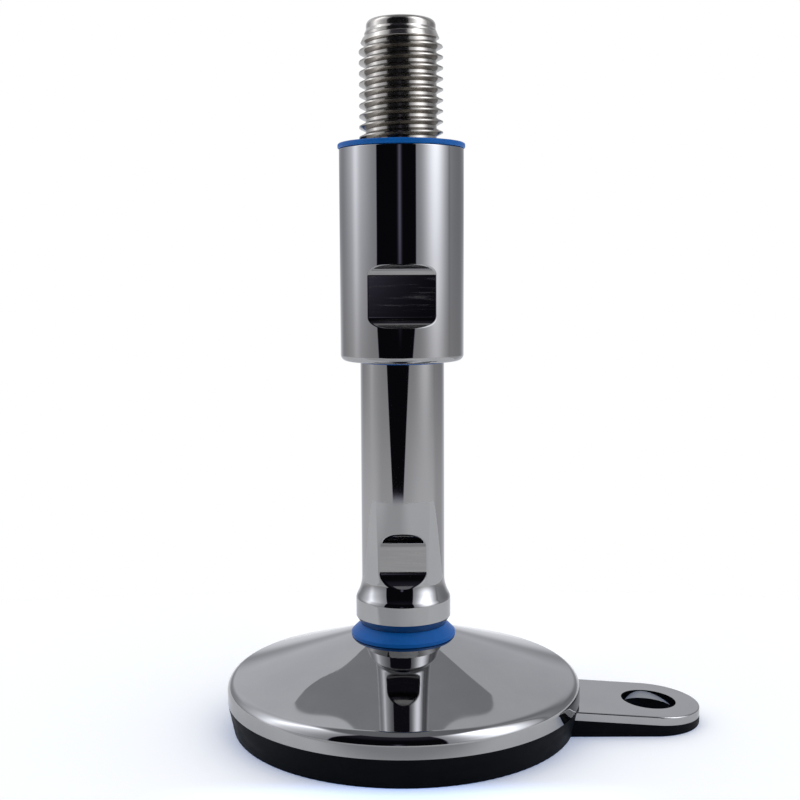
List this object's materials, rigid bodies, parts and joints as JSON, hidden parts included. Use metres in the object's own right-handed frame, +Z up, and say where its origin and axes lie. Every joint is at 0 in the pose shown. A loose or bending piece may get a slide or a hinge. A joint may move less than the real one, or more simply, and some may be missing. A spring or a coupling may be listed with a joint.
{
  "type": "adjustable levelling foot",
  "caption": "Machine levelling foot: conical steel base on a rubber pad with a bolt-down lug, sealed ball joint, spindle with an M24 stud and a screwed sleeve between blue seals.",
  "frame": {"origin": "on the floor, on the spindle's axis, at the centre of the rubber pad's underside", "axes": "+Z up along the spindle to the threaded stud; +X from the spindle to the bolt-down lug; spanner flats face -Y and +Y"},
  "size_m": [0.1407, 0.1046, 0.2048],
  "materials": {
    "polished_steel": "mirror-polished stainless steel",
    "inner_steel": "turned steel, inside the joint",
    "blue_seal": "smooth blue rubber",
    "black_rubber": "matt black moulded rubber"
  },
  "bodies": {
    "base": {"base_plate": "polished_steel", "bolt_down_lug": "polished_steel", "rubber_pad": "black_rubber", "ball_stud": "inner_steel"},
    "joint_seal": {"joint_seal": "blue_seal"},
    "collar": {"retaining_collar": "inner_steel"},
    "spindle": {"spindle": "polished_steel", "snap_ring": "inner_steel"},
    "wiper": {"sleeve_wiper_seal": "blue_seal"},
    "sleeve": {"sleeve": "polished_steel", "sleeve_top_seal": "blue_seal"}
  },
  "joints": [
    {"name": "tilt_direction", "type": "hinge", "parent": "base", "child": "joint_seal", "pos_m": [0, 0, 0.03736], "axis": [0, 0, 1], "continuous": true},
    {"name": "spindle_tilt", "type": "hinge", "parent": "joint_seal", "child": "collar", "pos_m": [0, 0, 0.03736], "axis": [0, 1, 0], "range_deg": [-7.5, 7.5], "deforming": ["joint_seal"]},
    {"name": "spindle_spin", "type": "hinge", "parent": "collar", "child": "spindle", "pos_m": [0, 0, 0.03736], "axis": [0, 0, 1], "continuous": true},
    {"name": "sleeve_travel", "type": "slide", "parent": "spindle", "child": "wiper", "axis": [0, 0, 1], "range_m": [-0.00601, 0.02401]},
    {"name": "sleeve_turn", "type": "hinge", "parent": "wiper", "child": "sleeve", "pos_m": [0, 0, 0.16886], "axis": [0, 0, 1], "range_deg": [-720, 2880]}
  ],
  "couplings": [
    {"joint": "sleeve_travel", "follows": "sleeve_turn", "m_per_rad": 0.00047746}
  ]
}
